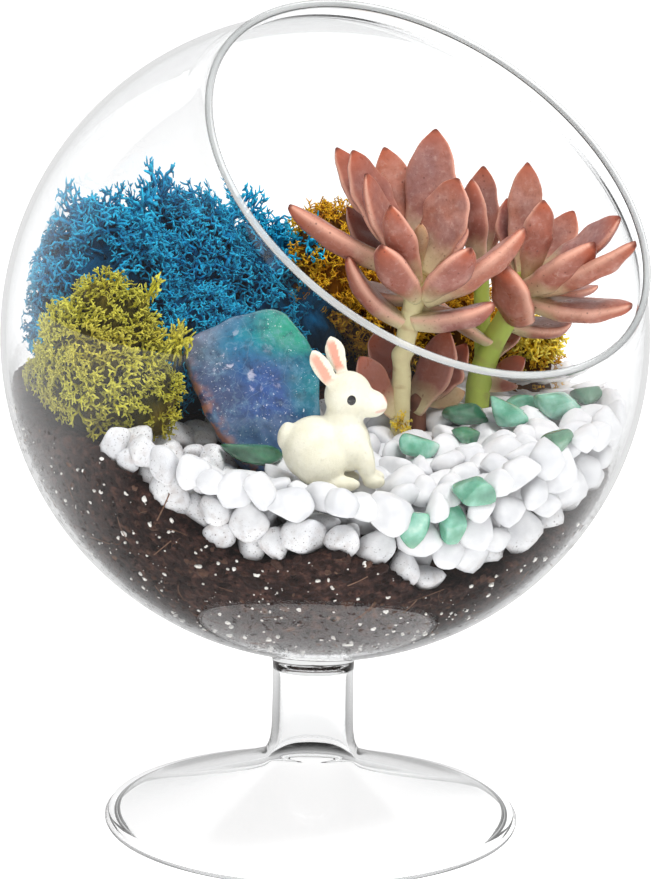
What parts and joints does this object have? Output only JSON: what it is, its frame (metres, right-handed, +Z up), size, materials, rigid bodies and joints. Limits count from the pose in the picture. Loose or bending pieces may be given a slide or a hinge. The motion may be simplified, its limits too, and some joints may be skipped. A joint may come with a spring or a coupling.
{
  "type": "glass plant terrarium",
  "caption": "Footed round glass bowl with a slanted mouth, planted with succulents in soil and white pebbles, with dyed moss, green stone chips, a crystal slab and a small rabbit.",
  "frame": {"origin": "on the surface that the foot stands on, under the middle of the globe", "axes": "+Z up; -Y to the front, where the rabbit sits; +X to the right, so the mouth looks up, to the right and to the front"},
  "size_m": [0.1498, 0.15, 0.1943],
  "materials": {
    "clear_glass": "clear blown glass, polished",
    "potting_soil": "dark crumbly potting mix with white perlite",
    "white_stone": "matte tumbled white stone",
    "green_stone": "polished translucent green stone",
    "banded_crystal": "broken glassy crystal, green to violet",
    "ivory_resin": "satin painted resin",
    "blue_moss": "dry dyed lichen, matte",
    "green_moss": "dry dyed lichen, matte",
    "yellow_moss": "dry dyed lichen, matte",
    "succulent_leaf": "thick waxy leaf, satin"
  },
  "bodies": {
    "root": {"glass_bowl": "clear_glass", "soil": "potting_soil", "white_pebbles": "white_stone", "green_chip_01": "green_stone", "green_chip_02": "green_stone", "green_chip_03": "green_stone", "green_chip_04": "green_stone", "green_chip_05": "green_stone", "green_chip_06": "green_stone", "green_chip_07": "green_stone", "green_chip_08": "green_stone", "green_chip_09": "green_stone", "green_chip_10": "green_stone", "green_chip_11": "green_stone", "green_chip_12": "green_stone", "fluorite_slab": "banded_crystal", "rabbit_figurine": "ivory_resin", "blue_moss": "blue_moss", "green_moss": "green_moss", "yellow_moss": "yellow_moss", "succulent_left": "succulent_leaf", "succulent_right": "succulent_leaf", "succulent_back": "succulent_leaf", "succulent_low": "succulent_leaf"}
  },
  "joints": []
}
